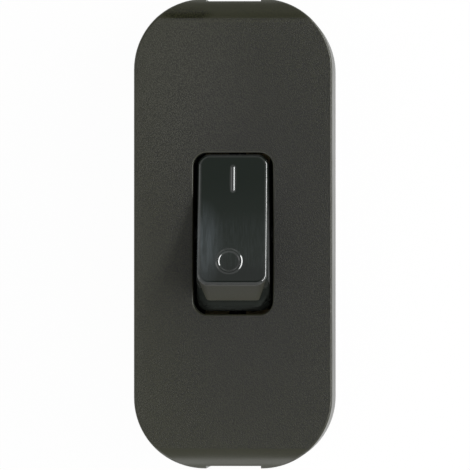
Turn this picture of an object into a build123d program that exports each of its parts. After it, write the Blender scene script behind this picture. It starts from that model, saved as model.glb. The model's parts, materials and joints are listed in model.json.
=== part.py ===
from build123d import *
import os
from math import acos, asin, atan2, cos, degrees, hypot, radians, sin, sqrt

# In-line cord rocker switch. X runs across the housing, Y along the cord, Z up.
# The origin is on the underside, below the centre. All sizes are in millimetres and degrees.

# Housing shells
housing_length = 82.0
housing_width = 34.6
housing_corner = 12.4
base_height = 14.0
cover_height = 12.0
wall = 2.0
end_roll_length = 4.0
end_roll_radius = 4.5
cover_edge = 0.4
base_edge = 1.6
parting_chamfer = 0.3

# Lip of the base that locates the cover
lip_height = 1.4
lip_thickness = 0.9
lip_clearance = 0.1

# Cord entry at each end
cord_hole_radius = 4.3
cord_mouth = 0.6
cord_recess_width = 9.6
cord_recess_depth = 0.45
cord_collar_length = 4.0
cord_collar_wall = 2.0

# Cord clamp behind each entry
clamp_from_end = 9.0
clamp_length = 20.0
clamp_width = 5.0
clamp_thickness = 3.0
clamp_rise = 1.5
clamp_ridge_radius = 1.2
clamp_ridge_length = 8.0
clamp_corner = 1.6
clamp_edge = 0.5
clamp_screw_x = 7.2
clamp_boss_radius = 2.5
saddle_width = 12.0
saddle_thickness = 3.0
saddle_cheek = 1.5

# Screws: radius of the shank, radius and height of the head
screw_radius = 1.45
screw_head_radius = 2.6
screw_head_height = 1.9
screw_slot_width = 0.7
screw_slot_depth = 0.9
screw_clearance = 0.05
clamp_screw_length = 9.0
housing_screw_length = 16.0
terminal_screw_length = 3.2
terminal_head_radius = 2.1
terminal_head_height = 1.6

# Housing screws, one at each end on a diagonal
housing_screw_from_end = 15.0
cover_boss_radius = 2.8
boss_block_gap = 0.1
counterbore_depth = 3.5
counterbore_clearance = 0.4
counterbore_wall = 1.4
pilot_spare = 1.5

# Rocker, measured about its pivot in the middle position
rocker_throw = 30.0
pivot_depth = 6.8
rocker_face_length = 23.4
rocker_face_width = 12.3
rocker_face_height = 9.65
rocker_dish = 0.5
rocker_radius = 13.7
rocker_skirt_width = 13.1
rocker_skirt_drop = 1.5
rocker_wall = 1.6
rocker_corner_cut = 1.2
rocker_foot_cut = 1.8
rocker_corner = 1.7
rocker_corner_share = 1.25
rocker_edge = 0.7

# Opening in the cover, and the guard wall under its edge
rocker_side_gap = 0.4
rocker_end_gap = 0.4
opening_corner = 2.4
opening_edge = 0.25
guard_wall = 1.6
guard_depth = 5.0

# Rocker bearings: trunnions in slotted ears, closed from below by posts
trunnion_radius = 1.5
trunnion_length = 2.6
trunnion_clearance = 0.08
ear_width = 8.0
ear_drop = 3.4
ear_end_wall = 0.3
ear_seat_gap = 0.2
tongue_clearance = 0.15

# Poles: plunger and spring in a post of the rocker
pole_x = 3.6
post_radius = 2.2
post_drop = 5.0
plunger_radius = 1.2
plunger_clearance = 0.05
plunger_top = -2.0
plunger_reach = 9.0
spring_bore_top = 5.0
spring_wire = 0.36
spring_turns = 4
spring_side_gap = 0.15
spring_end_gap = 0.03

# Contact bar that tips on the line strip
seesaw_rise = 14.0
seesaw_swing = 8.0
seesaw_arm = 10.0
seesaw_thickness = 1.0
seesaw_width = 4.2
seesaw_waist = 2.4
seesaw_notch_gap = 0.35
seesaw_seat_gap = 0.02
plunger_tip_gap = 0.14

# Contacts
contact_reach = 8.6
contact_radius = 1.5
moving_contact_height = 0.7
fixed_contact_height = 0.95
contact_dome_radius = 5.0
contact_gap = 0.03

# Terminal strips and blocks
strip_thickness = 1.0
strip_bend = 1.3
fork_slot_gap = 0.15
fork_height = 1.8
shelf_overhang = 1.9
shelf_step = 2.9
pillar_length = 3.0
terminal_from_centre = 20.0
block_length = 8.0
block_width = 6.0
block_height = 7.0
block_shift = 1.2
block_edge = 0.4
wire_hole_radius = 1.6
wire_hole_height = 2.6
earth_length = 18.0
earth_height = 6.5
earth_wall_gap = 0.3
earth_post_gap = 0.25
earth_screw_from_end = 3.0

# Ribs of the base
partition_thickness = 1.0
partition_clearance = 1.0
fence_thickness = 1.0
fence_height = 6.0
fence_gap = 0.15
stop_length = 1.6
stop_height = 2.4
stop_reach = 3.0
stop_gap = 0.15

# Levels and places that follow from the sizes above
half_length = housing_length / 2
half_width = housing_width / 2
parting_z = base_height
top_z = base_height + cover_height
ceiling_z = top_z - wall
floor_z = wall
pivot_z = top_z - pivot_depth
opening_width = rocker_skirt_width + 2 * rocker_side_gap
opening_length = 2 * (rocker_radius + rocker_end_gap)
rocker_lean = (rocker_skirt_width - rocker_face_width) / 2 / (rocker_face_height + rocker_skirt_drop)
ear_inner_x = opening_width / 2
trunnion_end_x = rocker_skirt_width / 2 + trunnion_length
ear_outer_x = trunnion_end_x + ear_end_wall
ear_bottom_z = pivot_z - ear_drop
bearing_radius = trunnion_radius + trunnion_clearance
bore_radius = plunger_radius + plunger_clearance
screw_hole_radius = screw_radius + screw_clearance
collar_radius = cord_hole_radius + cord_collar_wall
entry_face_y = half_length - cord_recess_depth
collar_y = entry_face_y - cord_collar_length
clamp_y = half_length - clamp_from_end
clamp_z = parting_z + clamp_rise
housing_screw_y = half_length - housing_screw_from_end
counterbore_radius = screw_head_radius + counterbore_clearance
base_boss_radius = counterbore_radius + counterbore_wall
block_x = pole_x + block_shift
housing_screw_x = block_x + block_width / 2 + boss_block_gap + base_boss_radius
strip_top_z = floor_z + strip_thickness
terminal_end_y = terminal_from_centre + block_length / 2
earth_outer_x = half_width - wall - earth_wall_gap
earth_width = earth_outer_x - ear_outer_x - earth_post_gap
earth_x = earth_outer_x - earth_width / 2

# Foot of the rocker's end wall, where the wall runs into the round skirt
face_corner = hypot(rocker_face_length / 2, rocker_face_height)
foot_angle = atan2(rocker_face_height, rocker_face_length / 2) - acos(rocker_radius / face_corner)
foot_y = rocker_radius * cos(foot_angle)
foot_z = rocker_radius * sin(foot_angle)
foot_x = rocker_face_width / 2 + rocker_lean * (rocker_face_height - foot_z)

# The rocker's corner cuts are narrowest at the lower edge of the skirt, and that limits their fillet
end_wall_height = rocker_face_height - foot_z
skirt_share = (rocker_face_height + rocker_skirt_drop) / end_wall_height
wall_overhang = rocker_face_length / 2 + (foot_y - rocker_face_length / 2) * skirt_share
skirt_end_y = sqrt(rocker_radius ** 2 - rocker_skirt_drop ** 2)
lowest_cut = rocker_corner_cut + (rocker_foot_cut - rocker_corner_cut) * skirt_share
narrowest_cut = lowest_cut - (wall_overhang - skirt_end_y)
corner_radius = min(rocker_corner, rocker_corner_share * narrowest_cut)

# Height of the contact bar's tipping edge, so that the plunger clears the bar in the middle position
tip_clear_height = (seesaw_thickness + plunger_radius + plunger_tip_gap) / cos(radians(seesaw_rise))
seesaw_z = pivot_z - plunger_reach - tip_clear_height

# The pressed arm at rest: its slope, and where its contact face meets the dome of the fixed contact
arm_slope = radians(seesaw_rise - seesaw_swing)
contact_face_y = -contact_reach * cos(arm_slope) - moving_contact_height * sin(arm_slope)
contact_face_z = seesaw_z + contact_reach * sin(arm_slope) - moving_contact_height * cos(arm_slope)
dome_y = contact_face_y - (contact_dome_radius + contact_gap) * sin(arm_slope)
dome_top_z = contact_face_z + contact_dome_radius - (contact_dome_radius + contact_gap) * cos(arm_slope)
shelf_top_z = dome_top_z - fixed_contact_height

# Frames of the moving pieces at rest, with the rocker switched on
rocker_rest = Pos(0, 0, pivot_z) * Rot(-rocker_throw / 2, 0, 0)
seesaw_rest = Pos(0, 0, seesaw_z) * Rot(seesaw_swing, 0, 0)
poles = {"left": -1, "right": 1}
diagonal = ((1, -1), (-1, 1))


def slab(inset, low, high):
    """Prism of the housing's outline, moved inwards by inset, between two heights."""
    size = (housing_width - 2 * inset, housing_length - 2 * inset)
    return Pos(0, 0, low) * extrude(RectangleRounded(*size, housing_corner - inset), amount=high - low)


def block(x_span, y_span, z_span):
    """Box over three spans, each a low and a high place."""
    spans = (x_span, y_span, z_span)
    low = [span[0] for span in spans]
    size = [span[1] - span[0] for span in spans]
    return Pos(*low) * Box(*size, align=(Align.MIN, Align.MIN, Align.MIN))


def about(centre, size):
    """Span of a size about a centre."""
    return centre - size / 2, centre + size / 2


def on_side(side, near, far):
    """Span between two distances from the middle, on the side with the sign given."""
    return sorted((side * near, side * far))


def upright(radius, x, y, low, high):
    """Round bar or hole along Z."""
    return Pos(x, y, low) * Cylinder(radius, high - low, align=(Align.CENTER, Align.CENTER, Align.MIN))


def crosswise(radius, x_span, z):
    """Round bar or hole along X, above the middle."""
    return Pos(sum(x_span) / 2, 0, z) * Rot(0, 90, 0) * Cylinder(radius, x_span[1] - x_span[0])


def lengthwise(radius, y_span, z):
    """Round bar or hole along Y, above the middle, with the seam of its face at the bottom."""
    turn = Rot(90, 0, 0) * Rot(0, 0, -90)
    return Pos(0, sum(y_span) / 2, z) * turn * Cylinder(radius, y_span[1] - y_span[0])


def both_ends(shape):
    """A shape made for the end at +Y, and its mirror image at the other end."""
    return shape + mirror(shape, about=Plane.XZ)


def side_prism(profile, width):
    """Solid of a side view (Y across, Z up), as wide as given about the middle plane."""
    return extrude(Plane.YZ * profile, amount=width / 2, both=True)


def lip_ring(outer_inset, top, end_width):
    """Ring along the inside of the wall, open at the cord entries."""
    ring = slab(outer_inset, parting_z, top) - slab(wall, parting_z, top)
    return ring - block(about(0, end_width), about(0, housing_length), (parting_z, top))


def cord_entry_cut():
    """Flat recess, round hole and flared mouth of both cord entries."""
    hole = lengthwise(cord_hole_radius, (collar_y, entry_face_y), parting_z)
    flare = Cone(cord_hole_radius, cord_hole_radius + cord_mouth, cord_mouth)
    mouth = Pos(0, entry_face_y - cord_mouth / 2, parting_z) * Rot(-90, 0, 0) * Rot(0, 0, 90) * flare
    recess = block(about(0, cord_recess_width), (entry_face_y, half_length), (0, top_z))
    return both_ends(hole + mouth + recess)


def cord_collars(low, high):
    """The part between two heights of the round collars inside both cord entries."""
    collar = lengthwise(collar_radius, (collar_y, half_length - wall / 2), parting_z)
    return both_ends(collar & block(about(0, housing_width), (0, half_length), (low, high)))


def cover_blank():
    """Outer form of the cover: flat top, long sides upright, ends rolled off."""
    roll_y = half_length - end_roll_length
    roll_z = top_z - end_roll_radius
    end_z = roll_z + sqrt(end_roll_radius**2 - end_roll_length**2)
    roll = degrees(asin(end_roll_length / end_roll_radius))
    outline = [
        Line((-roll_y, top_z), (roll_y, top_z)),
        CenterArc((roll_y, roll_z), end_roll_radius, 90, -roll),
        Line((half_length, end_z), (half_length, parting_z)),
        Line((half_length, parting_z), (-half_length, parting_z)),
        Line((-half_length, parting_z), (-half_length, end_z)),
        CenterArc((-roll_y, roll_z), end_roll_radius, 90 + roll, -roll),
    ]
    blank = slab(0, parting_z, top_z) & side_prism(make_face(outline), housing_width)
    blank = chamfer(blank.edges().group_by(Axis.Z)[0], parting_chamfer)

    def on_rim(edge):
        direction = edge.tangent_at(0.5)
        is_upright = abs(direction.Z) > 0.999
        starts_roll = abs(direction.X) > 0.999 and abs(edge.center().Y) < (roll_y + half_length) / 2
        return edge.center().Z > roll_z and not is_upright and not starts_roll

    return fillet(blank.edges().filter_by(on_rim), cover_edge)


def cover():
    """Upper shell: opening with its guard and ears, screw bosses, upper half of the cord collars."""
    opening = RectangleRounded(opening_width, opening_length, opening_corner)

    def round_opening(edge):
        middle = edge.center()
        return abs(middle.X) <= opening_width / 2 and abs(middle.Y) <= opening_length / 2

    shell = cover_blank() - Pos(0, 0, ceiling_z) * extrude(opening, amount=wall)
    shell = fillet(shell.edges().group_by(Axis.Z)[-1].filter_by(round_opening), opening_edge)
    shell -= slab(wall, parting_z, ceiling_z)
    rebate_inset = wall - lip_thickness - lip_clearance
    shell -= lip_ring(rebate_inset, parting_z + lip_height + lip_clearance, 2 * collar_radius)
    shell += rocker_guard(opening) + cord_collars(parting_z, ceiling_z)
    screw_end = counterbore_depth + housing_screw_length
    for x, y in diagonal:
        place = (x * housing_screw_x, y * housing_screw_y)
        shell += upright(cover_boss_radius, *place, parting_z, ceiling_z)
        shell -= upright(screw_hole_radius, *place, parting_z, screw_end + pilot_spare)
    return shell - cord_entry_cut()


def rocker_guard(opening):
    """Wall under the edge of the opening, with two ears slotted from below for the trunnions."""
    guard_size = (opening_width + 2 * guard_wall, opening_length + 2 * guard_wall)
    outline = RectangleRounded(*guard_size, opening_corner + guard_wall)
    guard = Pos(0, 0, ceiling_z - guard_depth) * extrude(outline, amount=guard_depth)
    for side in poles.values():
        ear_x = on_side(side, ear_inner_x, ear_outer_x)
        guard += block(ear_x, about(0, ear_width), (ear_bottom_z, ceiling_z))
    guard -= Pos(0, 0, ear_bottom_z) * extrude(opening, amount=ceiling_z - ear_bottom_z)
    slot_x = about(0, 2 * (ear_outer_x + guard_wall))
    guard -= block(slot_x, about(0, 2 * bearing_radius), (ear_bottom_z, pivot_z))
    return guard - crosswise(bearing_radius, slot_x, pivot_z)


def base():
    """Lower shell: lip, bearing posts, terminal pockets, clamp seats, screw bosses."""
    blank = slab(0, 0, parting_z)
    blank = chamfer(blank.edges().group_by(Axis.Z)[-1], parting_chamfer)
    blank = fillet(blank.edges().group_by(Axis.Z)[0], base_edge)
    shell = blank - slab(wall, floor_z, parting_z)
    shell += lip_ring(wall - lip_thickness, parting_z + lip_height, 2 * (collar_radius + lip_clearance))
    shell += cord_collars(floor_z, parting_z)
    shell += bearing_posts() + pole_ribs() + terminal_fences() + clamp_seats()
    for x, y in diagonal:
        place = (x * housing_screw_x, y * housing_screw_y)
        shell += upright(base_boss_radius, *place, floor_z, parting_z) & slab(wall / 2, 0, parting_z)
        shell -= upright(counterbore_radius, *place, 0, counterbore_depth)
        shell -= upright(screw_hole_radius, *place, 0, parting_z)
    return shell - cord_entry_cut()


def bearing_posts():
    """Posts that close the ears' slots from below and carry the rocker's trunnions."""
    posts = Part()
    tongue_width = 2 * (bearing_radius - tongue_clearance)
    for side in poles.values():
        post_x = on_side(side, ear_inner_x, ear_outer_x)
        posts += block(post_x, about(0, ear_width), (floor_z, ear_bottom_z - ear_seat_gap))
        posts += block(post_x, about(0, tongue_width), (floor_z, pivot_z - bearing_radius))
    return posts


def pole_ribs():
    """Partition between the poles, stops for the arms when off, pillars under the fixed contacts."""
    partition_top = parting_z - partition_clearance
    ribs = block(about(0, partition_thickness), about(0, 2 * terminal_end_y), (floor_z, partition_top))
    stop_y = contact_reach * cos(arm_slope)
    stop_z = seesaw_z + (stop_y - stop_length / 2) * sin(arm_slope) - stop_gap
    pillar_top = shelf_top_z - strip_thickness
    for side in poles.values():
        stop_x = on_side(side, 0, stop_reach)
        ribs += block(stop_x, about(stop_y, stop_length), (stop_z - stop_height, stop_z))
        pillar_x = about(side * pole_x, seesaw_width)
        ribs += block(pillar_x, about(dome_y, pillar_length), (floor_z, pillar_top))
    return ribs


def terminal_fences():
    """Low walls beside the terminal blocks and at the ends of the earth block."""
    fence_z = (floor_z, floor_z + fence_height)
    fence_x = block_x + block_width / 2 + fence_gap
    earth_end = earth_length / 2 + fence_gap
    earth_span = (earth_x - earth_width / 2, half_width - wall)
    fences = Part()
    for end in (-1, 1):
        for side in poles.values():
            rail_x = on_side(side, fence_x, fence_x + fence_thickness)
            fences += block(rail_x, about(end * terminal_from_centre, block_length), fence_z)
        fences += block(earth_span, on_side(end, earth_end, earth_end + fence_thickness), fence_z)
    return fences


def clamp_seats():
    """Bosses for the clamp screws, and the saddle that the cord lies in, at both ends."""
    saddle_y = about(clamp_y, saddle_thickness)
    seats = block(about(0, saddle_width), saddle_y, (floor_z, parting_z - saddle_cheek))
    seats -= lengthwise(cord_hole_radius, saddle_y, parting_z)
    pilot_low = clamp_z + clamp_thickness - clamp_screw_length - pilot_spare
    for side in poles.values():
        place = (side * clamp_screw_x, clamp_y)
        seats += upright(clamp_boss_radius, *place, floor_z, clamp_z)
        seats -= upright(screw_hole_radius, *place, pilot_low, clamp_z)
    return both_ends(seats)


def rocker_profile(drop):
    """Side view of the rocker about its pivot, down to drop: dished face, leaning ends, round skirt."""
    face_y = rocker_face_length / 2
    face_z = rocker_face_height
    skirt_end = asin(drop / rocker_radius)
    low_y = rocker_radius * cos(skirt_end)
    skirt_arc = degrees(foot_angle + skirt_end)
    outline = [
        ThreePointArc((-face_y, face_z), (0, face_z - rocker_dish), (face_y, face_z)),
        Line((face_y, face_z), (foot_y, foot_z)),
        CenterArc((0, 0), rocker_radius, degrees(foot_angle), -skirt_arc),
        Line((low_y, -drop), (-low_y, -drop)),
        CenterArc((0, 0), rocker_radius, 180 + degrees(skirt_end), -skirt_arc),
        Line((-foot_y, foot_z), (-face_y, face_z)),
    ]
    return make_face(outline)


def corner_planes():
    """Slanted planes across the rocker's four corners, which cut more at the foot of its end walls."""
    at_wall = Vector(rocker_face_width / 2 - rocker_corner_cut, rocker_face_length / 2, rocker_face_height)
    at_side = Vector(rocker_face_width / 2, rocker_face_length / 2 - rocker_corner_cut, rocker_face_height)
    at_foot = Vector(foot_x - rocker_foot_cut, foot_y, foot_z)
    outward = (at_side - at_wall).cross(at_foot - at_wall)
    corners = [(x, y) for x in (1, -1) for y in (1, -1)]
    return [Plane(origin=(x * at_wall.X, y * at_wall.Y, at_wall.Z),
                  z_dir=(x * outward.X, y * outward.Y, outward.Z)) for x, y in corners]


def rocker_blank():
    """Outer form of the rocker: sides that lean in towards the face, tapered corners, rounded edges."""
    low_x = rocker_skirt_width / 2
    over_z = rocker_face_height + rocker_edge
    over_x = rocker_face_width / 2 - rocker_lean * rocker_edge
    front = make_face(Polyline(
        (-low_x, -rocker_skirt_drop), (low_x, -rocker_skirt_drop),
        (over_x, over_z), (-over_x, over_z), close=True))
    blank = side_prism(rocker_profile(rocker_skirt_drop), rocker_skirt_width)
    blank &= extrude(Plane.XZ * front, amount=rocker_radius, both=True)
    for plane in corner_planes():
        blank = split(blank, bisect_by=plane, keep=Keep.BOTTOM)

    def at_corner(edge):
        middle = edge.center()
        is_upright = abs(edge.tangent_at(0.5).Z) > 0.5
        return is_upright and abs(middle.X) > rocker_face_width / 4 and abs(middle.Y) > rocker_face_length / 4

    blank = fillet(blank.edges().filter_by(at_corner), corner_radius)
    return fillet(blank.faces().sort_by(Axis.Z)[-1].edges(), rocker_edge)


def rocker():
    """Hollow rocker with two trunnions and two spring posts, about its pivot in the middle position."""
    hollow = rocker_profile(rocker_skirt_drop + rocker_wall)
    hollow = offset(hollow, amount=-rocker_wall, kind=Kind.INTERSECTION)
    hollow_width = rocker_face_width - 2 * rocker_wall
    body = rocker_blank() - side_prism(hollow, hollow_width)
    post_top = rocker_face_height - rocker_dish - rocker_wall / 2
    for side in poles.values():
        body += upright(post_radius, side * pole_x, 0, -post_drop, post_top)
        body += crosswise(trunnion_radius, on_side(side, hollow_width / 2, trunnion_end_x), 0)
        body -= upright(bore_radius, side * pole_x, 0, -post_drop, spring_bore_top)
    return body


def plunger():
    """Round pin with a ball end, in the rocker's frame, at the middle plane."""
    pin = upright(plunger_radius, 0, 0, -plunger_reach, plunger_top)
    return pin + Pos(0, 0, -plunger_reach) * Sphere(plunger_radius)


def spring():
    """Square-wire spring between the plunger and the end of its bore, in the rocker's frame."""
    low = plunger_top + spring_wire / 2 + spring_end_gap
    height = spring_bore_top - spring_wire / 2 - spring_end_gap - low
    coil_radius = bore_radius - spring_side_gap - spring_wire / 2
    path = Pos(0, 0, low) * Helix(height / spring_turns, height, coil_radius)
    start = Plane(origin=path @ 0, x_dir=(1, 0, 0), z_dir=path % 0)
    return sweep(start * Rectangle(spring_wire, spring_wire), path=path, is_frenet=True)


def seesaw():
    """V-shaped contact bar about its tipping edge, in the middle position, with notches for the fork."""
    rise = radians(seesaw_rise)
    end_y = seesaw_arm * cos(rise)
    end_z = seesaw_arm * sin(rise)
    upper_y = end_y - seesaw_thickness * sin(rise)
    upper_z = end_z + seesaw_thickness * cos(rise)
    profile = make_face(Polyline(
        (0, 0), (end_y, end_z), (upper_y, upper_z), (0, seesaw_thickness / cos(rise)),
        (-upper_y, upper_z), (-end_y, end_z), close=True))
    bar = side_prism(profile, seesaw_width)
    notch_y = about(0, strip_thickness + 2 * seesaw_notch_gap)
    for side in poles.values():
        bar -= block(on_side(side, seesaw_waist / 2, seesaw_width / 2), notch_y, (0, upper_z))
    return bar


def moving_contact():
    """Flat contact tip under the arm that closes, in the contact bar's frame."""
    arm = Rot(-seesaw_rise, 0, 0) * Pos(0, -contact_reach, 0)
    return arm * upright(contact_radius, 0, 0, -moving_contact_height, 0)


def fixed_contact():
    """Domed contact rivet on the load strip's shelf."""
    head = upright(contact_radius, 0, dome_y, shelf_top_z, dome_top_z)
    return head & Pos(0, dome_y, dome_top_z - contact_dome_radius) * Sphere(contact_dome_radius)


def bent_strip(*points):
    """Flat strip with rounded bends along a side-view line of Y and Z places."""
    path = FilletPolyline(*[(0, y, z) for y, z in points], radius=strip_bend)
    start = Plane(origin=path @ 0, x_dir=(1, 0, 0), z_dir=path % 0)
    return sweep(start * Rectangle(seesaw_width, strip_thickness), path=path)


def line_strip():
    """Strip with a forked upright that the contact bar tips on, at the middle plane."""
    level = floor_z + strip_thickness / 2
    fork_top = seesaw_z + fork_height
    strip = bent_strip((0, fork_top), (0, level), (terminal_end_y, level))
    slot_width = seesaw_waist + 2 * fork_slot_gap
    return strip - block(
        about(0, slot_width), about(0, 2 * strip_thickness), (seesaw_z - seesaw_seat_gap, fork_top))


def load_strip():
    """Stepped strip that carries the fixed contact on its shelf, at the middle plane."""
    level = floor_z + strip_thickness / 2
    shelf = shelf_top_z - strip_thickness / 2
    shelf_y = dome_y + shelf_overhang
    step_y = dome_y - shelf_step
    return bent_strip((shelf_y, shelf), (step_y, shelf), (step_y, level), (-terminal_end_y, level))


def terminal_block(width, length, height, screw_places):
    """Brass block with a wire hole along Y and a tapped hole at each screw, standing on Z = 0."""
    body = block(about(0, width), about(0, length), (0, height))
    body = chamfer(body.edges(), block_edge)
    body -= lengthwise(wire_hole_radius, about(0, length), wire_hole_height)
    for y in screw_places:
        body -= upright(screw_hole_radius, 0, y, wire_hole_height, height)
    return body


def screw(length, head_radius, head_height):
    """Slotted cheese-head screw, head up, with the underside of its head at Z = 0."""
    head = upright(head_radius, 0, 0, 0, head_height)
    slot_z = (head_height - screw_slot_depth, head_height)
    head -= block(about(0, 2 * head_radius), about(0, screw_slot_width), slot_z)
    return head + upright(screw_radius, 0, 0, -length, 0)


def cord_clamp():
    """Clamp bar with a ridge that grips the cord and a hole for each screw, standing on Z = 0."""
    bar = block(about(0, clamp_length), about(0, clamp_width), (0, clamp_thickness))
    bar = fillet(bar.edges().filter_by(Axis.Z), clamp_corner)
    bar = chamfer(bar.edges().group_by(Axis.Z)[-1], clamp_edge)
    bar += crosswise(clamp_ridge_radius, about(0, clamp_ridge_length), 0)
    for side in poles.values():
        bar -= upright(screw_hole_radius, side * clamp_screw_x, 0, 0, clamp_thickness)
    return bar


nodes = {"cover": cover(), "base": base(), "rocker": rocker_rest * rocker()}

# Both poles, left and right of the middle
terminal_screw = screw(terminal_screw_length, terminal_head_radius, terminal_head_height)
pole_block = terminal_block(block_width, block_length, block_height, [0])
terminal_screws = []
for name, side in poles.items():
    pole = Pos(side * pole_x, 0, 0)
    nodes[f"plunger_{name}"] = rocker_rest * pole * plunger()
    nodes[f"spring_{name}"] = rocker_rest * pole * spring()
    nodes[f"seesaw_{name}"] = seesaw_rest * pole * seesaw()
    nodes[f"moving_contact_{name}"] = seesaw_rest * pole * moving_contact()
    nodes[f"fixed_contact_{name}"] = pole * fixed_contact()
    nodes[f"line_strip_{name}"] = pole * line_strip()
    nodes[f"load_strip_{name}"] = pole * load_strip()
    for wire, end in (("line", 1), ("load", -1)):
        seat = Pos(side * block_x, end * terminal_from_centre, strip_top_z)
        nodes[f"{wire}_block_{name}"] = seat * pole_block
        terminal_screws.append(seat * Pos(0, 0, block_height) * terminal_screw)

# Earth terminal beside the poles
earth_screw_y = earth_length / 2 - earth_screw_from_end
earth_screw_places = (-earth_screw_y, earth_screw_y)
earth_seat = Pos(earth_x, 0, floor_z)
nodes["earth_block"] = earth_seat * terminal_block(
    earth_width, earth_length, earth_height, earth_screw_places)
for y in earth_screw_places:
    terminal_screws.append(earth_seat * Pos(0, y, earth_height) * terminal_screw)
nodes["terminal_screws"] = Compound(children=terminal_screws)

# Cord clamps behind the two entries
clamp_screw = screw(clamp_screw_length, screw_head_radius, screw_head_height)
clamp_screws = []
for name, end in (("front", -1), ("rear", 1)):
    seat = Pos(0, end * clamp_y, clamp_z)
    nodes[f"cord_clamp_{name}"] = seat * cord_clamp()
    for side in poles.values():
        clamp_screws.append(seat * Pos(side * clamp_screw_x, 0, clamp_thickness) * clamp_screw)
nodes["cord_clamp_screws"] = Compound(children=clamp_screws)

# Screws that hold the two shells together, from below
housing_screw = Rot(180, 0, 0) * screw(housing_screw_length, screw_head_radius, screw_head_height)
nodes["housing_screws"] = Compound(children=[
    Pos(x * housing_screw_x, y * housing_screw_y, counterbore_depth) * housing_screw for x, y in diagonal])

os.makedirs("parts", exist_ok=True)
for name, shape in nodes.items():
    export_step(shape, f"parts/{name}.step")
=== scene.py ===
import json
from math import cos, pi, radians, sin

import bmesh
import bpy
from mathutils import Matrix, Quaternion, Vector


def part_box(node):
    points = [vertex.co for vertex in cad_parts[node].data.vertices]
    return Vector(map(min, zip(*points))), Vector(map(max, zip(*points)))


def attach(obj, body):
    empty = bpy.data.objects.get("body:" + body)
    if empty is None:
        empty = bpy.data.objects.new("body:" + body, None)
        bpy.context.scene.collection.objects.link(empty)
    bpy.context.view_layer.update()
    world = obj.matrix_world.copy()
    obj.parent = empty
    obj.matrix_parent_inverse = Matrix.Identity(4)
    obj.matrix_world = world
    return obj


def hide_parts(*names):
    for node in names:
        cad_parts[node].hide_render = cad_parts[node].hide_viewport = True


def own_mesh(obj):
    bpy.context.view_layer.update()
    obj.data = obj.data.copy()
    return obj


# In-line cord rocker switch, lying on a pale floor and seen from above. All sizes are in metres.
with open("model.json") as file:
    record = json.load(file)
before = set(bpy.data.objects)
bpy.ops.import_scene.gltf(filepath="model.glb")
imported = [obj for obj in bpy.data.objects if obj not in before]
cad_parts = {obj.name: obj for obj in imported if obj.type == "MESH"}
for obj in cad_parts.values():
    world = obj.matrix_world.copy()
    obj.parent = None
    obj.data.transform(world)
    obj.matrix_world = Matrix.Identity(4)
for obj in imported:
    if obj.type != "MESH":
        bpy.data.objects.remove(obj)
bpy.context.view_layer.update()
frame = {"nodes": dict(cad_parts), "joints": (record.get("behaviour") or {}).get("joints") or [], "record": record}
nodes = frame["nodes"]
joints = {joint["name"]: joint for joint in frame["joints"]}

# Cover's top and half width, read from the solid
cover_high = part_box("cover")[1]
top_z = cover_high.z
cover_half = cover_high.x

# Rocker's frame at rest: the pivot, and the directions along and out of its face
pivot = Vector(joints["rocker_tilt"]["pos_m"])
half_throw = radians(joints["rocker_tilt"]["range_deg"][1]) / 2
along_face = Vector((0, cos(half_throw), -sin(half_throw)))
out_of_face = Vector((0, sin(half_throw), cos(half_throw)))
ray_height = 0.05

# Marks raised on the rocker: a bar for on, a ring for off. Fillet and crest are shares of the way up a flank.
bar_width = 0.00138
ring_width = 0.00115
mark_slope = 0.625
bar_fillet, bar_crest = 0.74, 0.76
ring_fillet, ring_crest = 0.53, 0.67
mark_foot_depth = 0.00008
mark_sink = mark_foot_depth / 4
bar_from_middle = 0.00735
ring_from_middle = 0.00755
ring_aside = -0.00055
bar_length = 0.0040
ring_diameter = 0.00403
smallest_bar_radius = bar_width / 200
mark_rings = 14
mark_arc_points = 24
ring_stations = 96

# Springs of round wire behind the plungers, measured out of the rocker's face from the pivot
spring_wire = 0.00036
spring_coil = 0.00092
spring_low = -0.00179
spring_high = 0.00479
spring_turns = 4
spring_stations = 32
wire_points = 10

# Housing colours: from the pits to the tips of the grain, dust in the grain with painted light along the left
# edge, and painted light on the walls of the opening
housing_ior = 1.5
pit_colour = (0.0010, 0.0011, 0.0003, 1)
grain_colour = (0.0185, 0.0194, 0.0080, 1)
dust_and_light_colour = (0.0520, 0.0510, 0.0440, 1)
throat_painted_light_colour = (0.0600, 0.0680, 0.0600, 1)

# Housing finish: the flat top has grain, the rest is smooth. Tones run from pits (0) to grain (1).
flat_normals = (0.985, 0.999)
pit_range = (0.38, 0.62)
pit_tone = 0.8
cloud_tone = 0.14
smooth_tone = 0.55
# painted light: the cover's left side is made lighter and its right side darker
left_painted_light_tone = 0.22
# the cover is darker towards its middle and lighter towards its ends and sides
middle_stretch = (1.6, 0.8, 0)
middle_span = (0.012, 0.034)
middle_tones = (-0.25, 0.15)
# painted highlight: a lighter line along the crease where the rolled end starts
crease_y = 0.0370
crease_width = 0.0003
crease_painted_highlight_tone = 0.3
top_roughness = (0.46, 0.58)
side_roughness = (0.31, 0.39)
grain_depth = 0.00011
speck_depth = 0.000004

# Where the cover's finish has changed: a glossier rubbed spot on the rolled end with a painted dark reflection in
# its colour, dust at the upper left, and painted light along the left edge
rubbed_and_reflection_place = (-0.0081, 0.0383, 0.0255)
rubbed_and_reflection_radii = (0.0052, 0.0013, 0.0100)
rubbed_and_reflection_core = 0.55
rubbed_painted_reflection_tone = -0.6
rubbed_roughness = -0.24
dusty_place = (-0.0100, 0.0255, top_z)
dusty_radii = (0.0150, 0.0230, 0.0100)
dusty_core = 0.3
painted_light_edge = -0.0145
painted_light_edge_share = 0.8
dust_and_light_pits = (0.2, 1.0)
dust_and_light_strength = 0.33

# Painted light on the walls of the rocker's opening, paler than the grained top
throat_half_width = 0.0070
throat_half_length = 0.01415
throat_low = 0.0200
throat_high = top_z - 0.0006
throat_side_fade = 0.0001
throat_low_fade = 0.002
throat_high_fade = 0.0002

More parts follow.
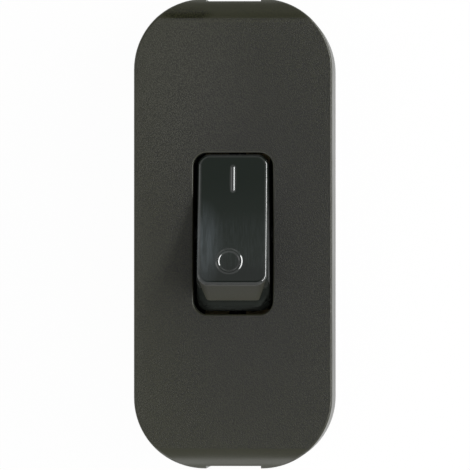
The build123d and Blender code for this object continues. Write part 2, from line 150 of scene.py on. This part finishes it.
# Rocker colours: face, painted shade at its raised end, painted reflection with its haze, the sides, painted light
# paler down the skirt's depth, the panel's top and foot
rocker_ior = 1.7
face_colour = (0.0080, 0.0118, 0.0090, 1)
painted_shade_colour = (0.0020, 0.0045, 0.0028, 1)
painted_reflection_colour = (0.0520, 0.0620, 0.0660, 1)
side_colour = (0.0120, 0.0140, 0.0124, 1)
skirt_painted_light_colour = (0.1400, 0.1570, 0.1400, 1)
panel_top_colour = (0.0150, 0.0152, 0.0092, 1)
panel_foot_colour = (0.0325, 0.0327, 0.0215, 1)

# Zones of the rocker's finish, measured along the face and out of it from the pivot
polish_low, polish_high = 0.0078, 0.0086
end_start, end_fade = 0.0100, 0.0008
rim_start, rim_fade = 0.0113, 0.0003
panel_start, panel_fade = 0.0106, 0.0003
panel_foot, panel_foot_fade = 0.0039, 0.0001
panel_rim, panel_rim_fade = 0.0091, 0.0002
panel_top = 0.0097
panel_low_half, panel_high_half = 0.00455, 0.00600
panel_side_fade = 0.00015
# painted light: how quickly the skirt grows paler with depth
skirt_painted_light_falloff = 1.6

# Rocker's face: haze with a painted reflection at the left, fine streaks of painted reflection on the lower half,
# painted shade (a deeper black) at the raised end
haze_reflection_place = (-0.0054, -0.0045, 0.0093)
haze_reflection_radii = (0.0042, 0.0085, 0.0042)
streak_stretch = (1, 0.08, 1)
streak_range = (0.35, 0.65)
streak_shares = (0.4, 1.1)
hairline_range = (0.42, 0.68)
hairline_strength = 0.15
streaked_low, streaked_high = -0.0075, -0.0015
streak_fade = 0.0030
# painted shade: a deeper black on the face towards its raised end
painted_shade_full, painted_shade_from = -0.0100, -0.0060

# Rocker's polish and satin
scuff_range = (0.35, 0.75)
face_roughness = (0.05, 0.11)
haze_roughness = 0.08
satin_roughness = (0.40, 0.50)
dull_roughness = 0.25
wave_depth = 0.00002
satin_depth = 0.00002

# Inner pieces, and the middle part of a noise's range, which most of its values lie in
inner_ior = 1.52
inner_depth = 0.000012
noise_middle = (0.3, 0.7)

# Camera: height over the cover, and how far it stands to the right and to the front
camera_height = 1.5
camera_right = 0.0535
camera_front = 0.0115
view_width = 0.0819
view_centre = Vector((0.00034, -0.00027, top_z))
sensor_width = 36.0

# Lamps: place, width and height, and the brightness that the face shows. The key strip leans about its aim.
# The power of an area lamp is four times its area times that brightness.
lamp_aim = Vector((0, 0, top_z))
lamp_power = 4
key_place, key_size, key_radiance = (0.412, 0.135, 0.266), (0.68, 0.10), 12.0
key_lean = radians(-30)
front_place, front_size, front_radiance = (-0.05, -0.60, 0.20), (0.80, 0.36), 1.6
left_place, left_size, left_radiance = (-0.55, 0.05, 0.28), (0.40, 0.30), 0.6

# Room: pale walls, lighter to the front than to the back, with the dark shape of the viewer overhead
viewer = Vector((-0.03, 0.31, 0.95)).normalized()
viewer_core = radians(7)
viewer_edge = radians(26)
viewer_glow = 0.12
front_glow = 0.84
back_glow = 0.44

# Stage: the floor lies just under the switch, so that the two don't share a plane
floor_half = 3.0
floor_gap = 0.0001
floor_glow = 0.97
floor_roughness = 0.9
floor_dark = (0.8, 0.8, 0.79, 1)
floor_light = (0.84, 0.84, 0.83, 1)


def add_node(tree, kind, inputs=None, **settings):
    """New shader node with its settings, and with values or links on its inputs."""
    made = tree.nodes.new(kind)
    for key, value in settings.items():
        setattr(made, key, value)
    for key, value in (inputs or {}).items():
        if isinstance(value, bpy.types.NodeSocket):
            tree.links.new(value, made.inputs[key])
        else:
            made.inputs[key].default_value = value
    return made


def noise(tree, place, scale, detail, rough):
    """Noise with features about 1 / scale metres wide."""
    made = add_node(tree, "ShaderNodeTexNoise", {
        "Vector": place, "Scale": scale, "Detail": detail, "Roughness": rough})
    return made.outputs["Fac"]


def remap(tree, value, low, high, new_low, new_high):
    """A value between low and high, moved to a new range and kept inside it."""
    made = add_node(tree, "ShaderNodeMapRange", {
        "Value": value, "From Min": low, "From Max": high, "To Min": new_low, "To Max": new_high})
    return made.outputs["Result"]


def rising(tree, value, start, end):
    """Share that goes from 0 to 1 as a value goes from start to end."""
    return remap(tree, value, start, end, 0.0, 1.0)


def falling(tree, value, start, end):
    """Share that goes from 1 to 0 as a value goes from start to end."""
    return remap(tree, value, start, end, 1.0, 0.0)


def calc(tree, operation, *values):
    """Result of a Math node."""
    made = add_node(tree, "ShaderNodeMath", dict(enumerate(values)), operation=operation)
    return made.outputs["Value"]


def product(tree, first, *others):
    """Product of two or more values."""
    for value in others:
        first = calc(tree, "MULTIPLY", first, value)
    return first


def complement(tree, share):
    """1 less a share."""
    return calc(tree, "SUBTRACT", 1.0, share)


def mix_values(tree, share, first, second):
    """Value that runs from the first to the second as share goes from 0 to 1."""
    return calc(tree, "MULTIPLY_ADD", calc(tree, "SUBTRACT", second, first), share, first)


def vector_calc(tree, operation, *values):
    """Result of a Vector Math node: a number for a length or a dot product, a vector otherwise."""
    made = add_node(tree, "ShaderNodeVectorMath", dict(enumerate(values)), operation=operation)
    return made.outputs["Value" if operation in ("LENGTH", "DOT_PRODUCT") else "Vector"]


def axes_of(tree, vector):
    """A vector's three values, by the names X, Y and Z."""
    return add_node(tree, "ShaderNodeSeparateXYZ", {0: vector}).outputs


def mix_colours(tree, share, first, second):
    """Colour that runs from the first to the second as share goes from 0 to 1."""
    made = add_node(tree, "ShaderNodeMix", data_type="RGBA")
    share_socket, first_socket, second_socket = made.inputs[0], made.inputs[6], made.inputs[7]
    for socket, value in ((share_socket, share), (first_socket, first), (second_socket, second)):
        if isinstance(value, bpy.types.NodeSocket):
            tree.links.new(value, socket)
        else:
            socket.default_value = value
    return made.outputs[2]


def bump(tree, height, distance, below=None):
    """Bump of a height between 0 and 1, on top of another bump if one is given."""
    inputs = {"Height": height, "Distance": distance, "Strength": 1.0}
    if below is not None:
        inputs["Normal"] = below
    return add_node(tree, "ShaderNodeBump", inputs).outputs["Normal"]


def soft_spot(tree, place, centre, radii, core):
    """1 in the core of an ellipsoid, a share of its size, fading to 0 at its skin."""
    offset = vector_calc(tree, "SUBTRACT", place, centre)
    distance = vector_calc(tree, "LENGTH", vector_calc(tree, "DIVIDE", offset, radii))
    return falling(tree, distance, core, 1.0)


def new_material(name, metallic=0.0, ior=1.5):
    """Material with a Principled shader, its tree, and the place on the object in metres."""
    material = bpy.data.materials.new(name)
    material.use_nodes = True
    tree = material.node_tree
    shader = tree.nodes["Principled BSDF"]
    shader.inputs["Metallic"].default_value = metallic
    shader.inputs["IOR"].default_value = ior
    place = add_node(tree, "ShaderNodeTexCoord").outputs["Object"]
    return material, tree, shader, place


def drive(tree, shader, **sockets):
    """Links values to the shader's inputs, by name with underscores for spaces."""
    for key, value in sockets.items():
        tree.links.new(value, shader.inputs[key.replace("_", " ")])


def throat_painted_light_share(tree, place, grained):
    """1 where painted light goes on the walls of the rocker's opening, 0 elsewhere and on the grained top."""
    axes = axes_of(tree, place)
    across, along = calc(tree, "ABSOLUTE", axes["X"]), calc(tree, "ABSOLUTE", axes["Y"])
    beside = falling(tree, across, throat_half_width, throat_half_width + throat_side_fade)
    between = falling(tree, along, throat_half_length, throat_half_length + throat_side_fade)
    over = rising(tree, axes["Z"], throat_low, throat_low + throat_low_fade)
    under = falling(tree, axes["Z"], throat_high, throat_high + throat_high_fade)
    return product(tree, beside, between, over, under, complement(tree, grained))


def housing_tone(tree, place, pits, cloud, rubbed_and_reflection, grained):
    """Tone of the housing: grain, clouds, darker towards the middle, painted light that makes the left lighter, a
    painted highlight along the rolled end's crease, and the rubbed spot's painted dark reflection.
    """
    axes = axes_of(tree, place)
    away = vector_calc(tree, "LENGTH", vector_calc(tree, "MULTIPLY", place, middle_stretch))
    tone = remap(tree, away, *middle_span, *middle_tones)
    tone = calc(tree, "MULTIPLY_ADD", pits, pit_tone, tone)
    tone = calc(tree, "MULTIPLY_ADD", cloud, cloud_tone, tone)
    # painted light: lighter towards the left
    tone = calc(tree, "ADD", tone, remap(tree, axes["X"], -cover_half, cover_half, left_painted_light_tone, -left_painted_light_tone))
    off_crease = calc(tree, "ABSOLUTE", calc(tree, "SUBTRACT", axes["Y"], crease_y))
    # painted highlight along the crease
    tone = calc(tree, "ADD", tone, remap(tree, off_crease, 0.0, crease_width, crease_painted_highlight_tone, 0.0))
    # painted dark reflection on the rubbed spot
    tone = calc(tree, "MULTIPLY_ADD", rubbed_and_reflection, rubbed_painted_reflection_tone, tone)
    return calc(tree, "MULTIPLY_ADD", complement(tree, grained), smooth_tone, tone)


def dust_and_light_share(tree, place, pits, grained):
    """Dust in the grain at the cover's upper left, and painted light in the grain along its left edge."""
    upper_left = soft_spot(tree, place, dusty_place, dusty_radii, dusty_core)
    left_edge = remap(tree, axes_of(tree, place)["X"], -cover_half, painted_light_edge, painted_light_edge_share, 0.0)
    dust_and_light = calc(tree, "MAXIMUM", upper_left, left_edge)
    return product(tree, dust_and_light, grained, remap(tree, pits, *dust_and_light_pits, 0.0, dust_and_light_strength))


def housing_plastic():
    """Black moulded plastic: fine grain on the flat top, satin on the rolled ends and sides."""
    material, tree, shader, place = new_material("housing_plastic", ior=housing_ior)
    normal = add_node(tree, "ShaderNodeNewGeometry").outputs["True Normal"]
    grained = rising(tree, axes_of(tree, normal)["Z"], *flat_normals)
    cloud = noise(tree, place, scale=90, detail=3, rough=0.6)
    grain = noise(tree, place, scale=4200, detail=2, rough=0.7)
    speck = noise(tree, place, scale=9000, detail=1, rough=0.5)
    pits = rising(tree, grain, *pit_range)
    rubbed_and_reflection = soft_spot(tree, place, rubbed_and_reflection_place, rubbed_and_reflection_radii, rubbed_and_reflection_core)

    tone = housing_tone(tree, place, pits, cloud, rubbed_and_reflection, grained)
    colour = mix_colours(tree, tone, pit_colour, grain_colour)
    # dust in the grain at the upper left, painted light along the left edge
    colour = mix_colours(tree, dust_and_light_share(tree, place, pits, grained), colour, dust_and_light_colour)
    # painted light on the shaded walls of the opening
    colour = mix_colours(tree, throat_painted_light_share(tree, place, grained), colour, throat_painted_light_colour)

    top = remap(tree, speck, *noise_middle, *top_roughness)
    sides = remap(tree, cloud, *noise_middle, *side_roughness)
    sides = calc(tree, "MULTIPLY_ADD", rubbed_and_reflection, rubbed_roughness, sides)
    rough = mix_values(tree, grained, sides, top)
    coarse = bump(tree, product(tree, grain, grained), grain_depth)
    drive(tree, shader, Base_Color=colour, Roughness=rough, Normal=bump(tree, speck, speck_depth, coarse))
    return material


def rocker_axes(tree, place):
    """Place on the rocker about its pivot: across it, along its face and out of its face."""
    offset = vector_calc(tree, "SUBTRACT", place, pivot)
    run = vector_calc(tree, "DOT_PRODUCT", offset, along_face)
    rise = vector_calc(tree, "DOT_PRODUCT", offset, out_of_face)
    return axes_of(tree, offset)["X"], run, rise


def end_panel(tree, across, from_middle, rise):
    """1 on a panel that narrows downwards on each end wall, and 1 below the rim over it."""
    past_face = rising(tree, from_middle, panel_start, panel_start + panel_fade)
    over_foot = rising(tree, rise, panel_foot - panel_foot_fade, panel_foot + panel_foot_fade)
    under_rim = falling(tree, rise, panel_rim, panel_rim + panel_rim_fade)
    half_width = remap(tree, rise, panel_foot, panel_top, panel_low_half, panel_high_half)
    to_side = calc(tree, "SUBTRACT", half_width, across)
    inside = rising(tree, to_side, -panel_side_fade, panel_side_fade)
    return product(tree, past_face, over_foot, under_rim, inside), under_rim


def face_haze_and_reflection(tree, aside, run, rise):
    """Streaky haze with a painted reflection at the left of the rocker's face, and fine streaks of painted
    reflection on its lower half.
    """
    in_frame = add_node(tree, "ShaderNodeCombineXYZ", {"X": aside, "Y": run, "Z": rise}).outputs[0]
    drawn_out = add_node(tree, "ShaderNodeMapping", {"Vector": in_frame, "Scale": streak_stretch})
    stretched = drawn_out.outputs["Vector"]
    streaks = noise(tree, stretched, scale=2200, detail=3, rough=0.6)
    hairlines = noise(tree, stretched, scale=5200, detail=2, rough=0.6)
    haze_and_reflection = product(tree, soft_spot(tree, in_frame, haze_reflection_place, haze_reflection_radii, 0.0),
                   remap(tree, streaks, *streak_range, *streak_shares))
    over_low = rising(tree, run, streaked_low - streak_fade, streaked_low)
    under_high = falling(tree, run, streaked_high, streaked_high + streak_fade)
    lines = remap(tree, hairlines, *hairline_range, 0.0, hairline_strength)
    return calc(tree, "MULTIPLY_ADD", lines, product(tree, over_low, under_high), haze_and_reflection)


def rocker_plastic():
    """Black plastic: polished face and skirt, satin sides, and a satin panel on each end wall."""
    material, tree, shader, place = new_material("rocker_plastic", ior=rocker_ior)
    aside, run, rise = rocker_axes(tree, place)
    from_middle = calc(tree, "ABSOLUTE", run)
    panel, under_rim = end_panel(tree, calc(tree, "ABSOLUTE", aside), from_middle, rise)
    below_face = falling(tree, rise, polish_low, polish_high)
    at_end = rising(tree, from_middle, end_start, end_start + end_fade)
    past_rim = rising(tree, from_middle, rim_start, rim_start + rim_fade)
    end_rim = product(tree, past_rim, complement(tree, under_rim))
    dull = calc(tree, "MAXIMUM", product(tree, below_face, complement(tree, at_end)), end_rim)
    satin_share = calc(tree, "MAXIMUM", panel, dull)
    # haze that roughens the face, and its painted reflection in the face's colour
    haze_and_reflection = face_haze_and_reflection(tree, aside, run, rise)
    cloud = noise(tree, place, scale=130, detail=2, rough=0.5)
    fine = noise(tree, place, scale=5000, detail=2, rough=0.6)
    scuff = noise(tree, place, scale=900, detail=4, rough=0.7)

    # painted shade at the raised end of the face
    painted_shade = falling(tree, run, painted_shade_full, painted_shade_from)
    face = mix_colours(tree, haze_and_reflection, mix_colours(tree, painted_shade, face_colour, painted_shade_colour), painted_reflection_colour)
    # painted light: the shaded skirt grows paler with depth
    down_skirt_painted_light = calc(tree, "POWER", falling(tree, rise, 0.0, panel_foot), skirt_painted_light_falloff)
    sides = mix_colours(tree, product(tree, down_skirt_painted_light, at_end), side_colour, skirt_painted_light_colour)
    ends = mix_colours(tree, falling(tree, rise, panel_foot, panel_top), panel_top_colour, panel_foot_colour)
    off_face = calc(tree, "MAXIMUM", panel, calc(tree, "MAXIMUM", below_face, end_rim))
    colour = mix_colours(tree, off_face, face, mix_colours(tree, panel, sides, ends))

    gloss = remap(tree, scuff, *scuff_range, *face_roughness)
    gloss = calc(tree, "MULTIPLY_ADD", haze_and_reflection, haze_roughness, gloss)
    duller = product(tree, dull, remap(tree, panel, 0.0, 1.0, dull_roughness, 0.0))
    duller = calc(tree, "MULTIPLY_ADD", end_rim, dull_roughness, duller)
    satin = calc(tree, "ADD", remap(tree, fine, *noise_middle, *satin_roughness), duller)
    rough = mix_values(tree, satin_share, gloss, satin)
    waves = bump(tree, cloud, wave_depth)
    normal = bump(tree, product(tree, fine, satin_share), satin_depth, waves)
    drive(tree, shader, Base_Color=colour, Roughness=rough, Normal=normal)
    return material


def inner_plastic(name, dark, light, roughness):
    """Plain pale moulded plastic of an inner piece."""
    material, tree, shader, place = new_material(name, ior=inner_ior)
    cloud = noise(tree, place, scale=200, detail=3, rough=0.6)
    fine = noise(tree, place, scale=5000, detail=2, rough=0.6)
    colour = mix_colours(tree, cloud, dark, light)
    rough = remap(tree, fine, *noise_middle, *roughness)
    drive(tree, shader, Base_Color=colour, Roughness=rough, Normal=bump(tree, fine, inner_depth))
    return material


def worked_metal(name, dark, light, roughness, stretch, groove_depth):
    """Metal with fine working marks, drawn out along the axis where stretch is small."""
    material, tree, shader, place = new_material(name, metallic=1.0)
    mapped = add_node(tree, "ShaderNodeMapping", {"Vector": place, "Scale": stretch}).outputs["Vector"]
    marks = noise(tree, mapped, scale=6000, detail=3, rough=0.7)
    cloud = noise(tree, place, scale=350, detail=4, rough=0.6)
    colour = mix_colours(tree, cloud, dark, light)
    rough = remap(tree, marks, *noise_middle, *roughness)
    drive(tree, shader, Base_Color=colour, Roughness=rough, Normal=bump(tree, marks, groove_depth))
    return material


def build_materials():
    """One material for each slot of the record."""
    plastics = {
        "clamp_plastic": dict(
            dark=(0.52, 0.50, 0.44, 1), light=(0.66, 0.64, 0.58, 1), roughness=(0.42, 0.55)),
        "plunger_plastic": dict(
            dark=(0.64, 0.62, 0.55, 1), light=(0.76, 0.74, 0.68, 1), roughness=(0.25, 0.36)),
    }
    metals = {
        "spring_steel": dict(
            dark=(0.48, 0.48, 0.49, 1), light=(0.62, 0.62, 0.63, 1), roughness=(0.22, 0.36),
            stretch=(1, 1, 0.3), groove_depth=0.000002),
        "screw_steel": dict(
            dark=(0.55, 0.55, 0.53, 1), light=(0.70, 0.70, 0.67, 1), roughness=(0.24, 0.42),
            stretch=(1, 0.2, 1), groove_depth=0.000003),
        "terminal_brass": dict(
            dark=(0.34, 0.28, 0.16, 1), light=(0.50, 0.41, 0.24, 1), roughness=(0.30, 0.48),
            stretch=(0.15, 1, 1), groove_depth=0.000004),
        "contact_copper": dict(
            dark=(0.60, 0.31, 0.19, 1), light=(0.76, 0.43, 0.29, 1), roughness=(0.24, 0.40),
            stretch=(1, 0.15, 1), groove_depth=0.000003),
        "contact_silver": dict(
            dark=(0.72, 0.71, 0.68, 1), light=(0.84, 0.83, 0.80, 1), roughness=(0.20, 0.36),
            stretch=(1, 1, 1), groove_depth=0.000002),
    }
    made = {"housing_plastic": housing_plastic(), "rocker_plastic": rocker_plastic()}
    for name, look in plastics.items():
        made[name] = inner_plastic(name, **look)
    for name, look in metals.items():
        made[name] = worked_metal(name, **look)
    return made


def dress_nodes(materials):
    """Gives every solid the finish of its slot."""
    for part in frame["record"]["subparts"]:
        slots = nodes[part["node"]].material_slots
        slots[0].material = materials[part["material_slot"]]


def on_face(across, along, lift):
    """Point over the rocker's face: across and along it from the pivot, lifted off it."""
    start = pivot + Vector((across, 0, 0)) + along * along_face + ray_height * out_of_face
    hit, point, normal, index = nodes["rocker"].ray_cast(start, -out_of_face)
    if not hit:
        raise ValueError("mark lies off the rocker's face")
    return point + lift * out_of_face


def ridge_lift(share, width, fillet, crest):
    """Height of a mark's section with straight flanks, from foot (0) over the crest (0.5) to foot (1)."""
    up = 2 * min(share, 1 - share)
    rise = up * up / (2 * fillet) if up < fillet else up - fillet / 2
    over = max(up - crest, 0)
    rise -= over * over / (2 * (1 - crest))
    return mark_slope * rise * width / 2 - mark_sink


def loop_faces(mesh, first, second):
    """Quads between two closed loops of as many points."""
    for i in range(len(first)):
        j = (i + 1) % len(first)
        mesh.faces.new((first[i], first[j], second[j], second[i]))


def finish_piece(mesh, name, material):
    """Makes the piece, smooth and riding on the rocker."""
    bmesh.ops.recalc_face_normals(mesh, faces=mesh.faces)
    data = bpy.data.meshes.new(name)
    mesh.to_mesh(data)
    mesh.free()
    data.shade_smooth()
    data.materials.append(material)
    piece = bpy.data.objects.new(name, data)
    bpy.context.scene.collection.objects.link(piece)
    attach(piece, "rocker")
    return piece


def stadium(radius, half_length):
    """Points of a long rounded outline about the middle, as pairs of across and along."""
    points = []
    for end in (1, -1):
        for step in range(mark_arc_points):
            angle = pi * step / (mark_arc_points - 1)
            points.append((end * radius * cos(angle), end * (half_length + radius * sin(angle))))
    return points


def on_mark(material):
    """Raised bar with round ends, near the end that is pressed to switch on."""
    mesh = bmesh.new()
    loops = []
    for ring in range(mark_rings + 1):
        share = ring / mark_rings / 2
        radius = max(bar_width * (0.5 - share), smallest_bar_radius)
        lift = ridge_lift(share, bar_width, bar_fillet, bar_crest)
        loops.append([mesh.verts.new(on_face(across, bar_from_middle + along, lift))
                      for across, along in stadium(radius, bar_length / 2)])
    foot = [mesh.verts.new(vert.co - mark_foot_depth * out_of_face) for vert in loops[0]]
    loops.insert(0, foot)
    for outer, inner in zip(loops, loops[1:]):
        loop_faces(mesh, outer, inner)
    mesh.faces.new(foot)
    mesh.faces.new(loops[-1])
    finish_piece(mesh, "mark_on", material)


def off_mark(material):
    """Raised ring, near the end that is pressed to switch off."""
    mesh = bmesh.new()
    loops = []
    circle = [2 * pi * step / ring_stations for step in range(ring_stations)]
    for ring in range(2 * mark_rings + 1):
        share = ring / mark_rings / 2
        radius = ring_diameter / 2 + ring_width * (share - 0.5)
        lift = ridge_lift(share, ring_width, ring_fillet, ring_crest)
        loops.append([
            mesh.verts.new(on_face(
                ring_aside + radius * cos(angle), radius * sin(angle) - ring_from_middle, lift))
            for angle in circle])
    for loop in (loops[-1], loops[0]):
        loops.append([mesh.verts.new(vert.co - mark_foot_depth * out_of_face) for vert in loop])
    for first, second in zip(loops, loops[1:] + loops[:1]):
        loop_faces(mesh, first, second)
    finish_piece(mesh, "mark_off", material)


def coil_spring(side, material):
    """Spring of round wire behind its plunger, riding on the rocker in place of the hidden solid spring."""
    foot = pivot + Vector((joints["contact_tip_" + side]["pos_m"][0], 0, 0))
    sideways = Vector((1, 0, 0))
    climb = (spring_high - spring_low) / (2 * pi * spring_turns)
    section = [2 * pi * point / wire_points for point in range(wire_points)]
    mesh = bmesh.new()
    loops = []
    for step in range(spring_turns * spring_stations + 1):
        angle = 2 * pi * step / spring_stations
        outward = cos(angle) * sideways + sin(angle) * along_face
        onward = spring_coil * (cos(angle) * along_face - sin(angle) * sideways) + climb * out_of_face
        upward = onward.normalized().cross(outward)
        middle = foot + spring_coil * outward + (spring_low + climb * angle) * out_of_face
        loops.append([
            mesh.verts.new(middle + spring_wire / 2 * (cos(turn) * outward + sin(turn) * upward))
            for turn in section])
    for first, second in zip(loops, loops[1:]):
        loop_faces(mesh, first, second)
    mesh.faces.new(loops[0])
    mesh.faces.new(loops[-1])
    piece = finish_piece(mesh, "coil_" + side, material)
    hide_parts("spring_" + side)
    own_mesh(piece)


def softbox(name, place, size, radiance, lean=0.0):
    """Area lamp turned to the switch and leaning about its aim, with the brightness that its face shows."""
    lamp = bpy.data.lights.new(name, "AREA")
    lamp.shape = "RECTANGLE"
    lamp.size, lamp.size_y = size
    lamp.energy = lamp_power * size[0] * size[1] * radiance
    holder = bpy.data.objects.new(name, lamp)
    bpy.context.scene.collection.objects.link(holder)
    holder.location = place
    facing = (lamp_aim - Vector(place)).to_track_quat("-Z", "Y")
    holder.rotation_euler = (facing @ Quaternion((0, 0, 1), lean)).to_euler()
    holder.visible_camera = False


def light_scene():
    """Strong soft light from the right, weaker ones from the front and the left, and a dim room overhead."""
    softbox("key_strip", key_place, key_size, key_radiance, key_lean)
    softbox("fill_front", front_place, front_size, front_radiance)
    softbox("fill_left", left_place, left_size, left_radiance)

    world = bpy.data.worlds.new("studio")
    bpy.context.scene.world = world
    world.use_nodes = True
    tree = world.node_tree
    direction = add_node(tree, "ShaderNodeTexCoord").outputs["Generated"]
    walls = remap(tree, axes_of(tree, direction)["Y"], -1.0, 1.0, front_glow, back_glow)
    nearness = vector_calc(tree, "DOT_PRODUCT", direction, viewer)
    shaded = rising(tree, nearness, cos(viewer_edge), cos(viewer_core))
    room = mix_colours(tree, shaded, walls, (viewer_glow, viewer_glow, viewer_glow, 1))
    tree.links.new(room, tree.nodes["Background"].inputs["Color"])


def floor_material():
    """Pale floor that shows white, keeps a soft shadow, and can be seen through from below."""
    material, tree, shader, place = new_material("floor")
    cloud = noise(tree, place, scale=6, detail=3, rough=0.5)
    drive(tree, shader, Base_Color=mix_colours(tree, cloud, floor_dark, floor_light))
    shader.inputs["Roughness"].default_value = floor_roughness
    path = add_node(tree, "ShaderNodeLightPath").outputs
    seen = calc(tree, "MAXIMUM", path["Is Camera Ray"], path["Is Glossy Ray"])
    seen = calc(tree, "MAXIMUM", seen, path["Is Transmission Ray"])
    share = product(tree, seen, floor_glow)
    glow = add_node(tree, "ShaderNodeEmission", {"Strength": 1.0}).outputs[0]
    front = add_node(tree, "ShaderNodeMixShader", {0: share, 1: shader.outputs[0], 2: glow}).outputs[0]
    back = add_node(tree, "ShaderNodeNewGeometry").outputs["Backfacing"]
    clear = add_node(tree, "ShaderNodeBsdfTransparent").outputs[0]
    whole = add_node(tree, "ShaderNodeMixShader", {0: back, 1: front, 2: clear}).outputs[0]
    tree.links.new(whole, tree.nodes["Material Output"].inputs["Surface"])
    return material


def lay_floor():
    """Flat floor that the switch lies on."""
    mesh = bmesh.new()
    bmesh.ops.create_grid(mesh, x_segments=2, y_segments=2, size=floor_half)
    data = bpy.data.meshes.new("floor")
    mesh.to_mesh(data)
    mesh.free()
    data.materials.append(floor_material())
    floor = bpy.data.objects.new("floor", data)
    bpy.context.scene.collection.objects.link(floor)
    floor.location.z = -floor_gap


def place_camera():
    """Long lens over the switch, a little to the right and to the front, with +Y up in the picture."""
    stand = Vector((camera_right, -camera_front, top_z + camera_height))
    back = (stand - view_centre).normalized()
    right = Vector((0, 1, 0)).cross(back).normalized()
    up = back.cross(right)
    data = bpy.data.cameras.new("camera")
    data.sensor_width = sensor_width
    data.lens = sensor_width * (stand - view_centre).length / view_width
    camera = bpy.data.objects.new("camera", data)
    bpy.context.scene.collection.objects.link(camera)
    turn = Matrix((right, up, back)).transposed().to_4x4()
    camera.matrix_world = Matrix.Translation(stand) @ turn
    bpy.context.scene.camera = camera


finishes = build_materials()
dress_nodes(finishes)
bpy.context.view_layer.update()
on_mark(finishes["rocker_plastic"])
off_mark(finishes["rocker_plastic"])
for side in ("left", "right"):
    coil_spring(side, finishes["spring_steel"])
light_scene()
lay_floor()
place_camera()
bpy.context.scene.view_settings.view_transform = "Standard"
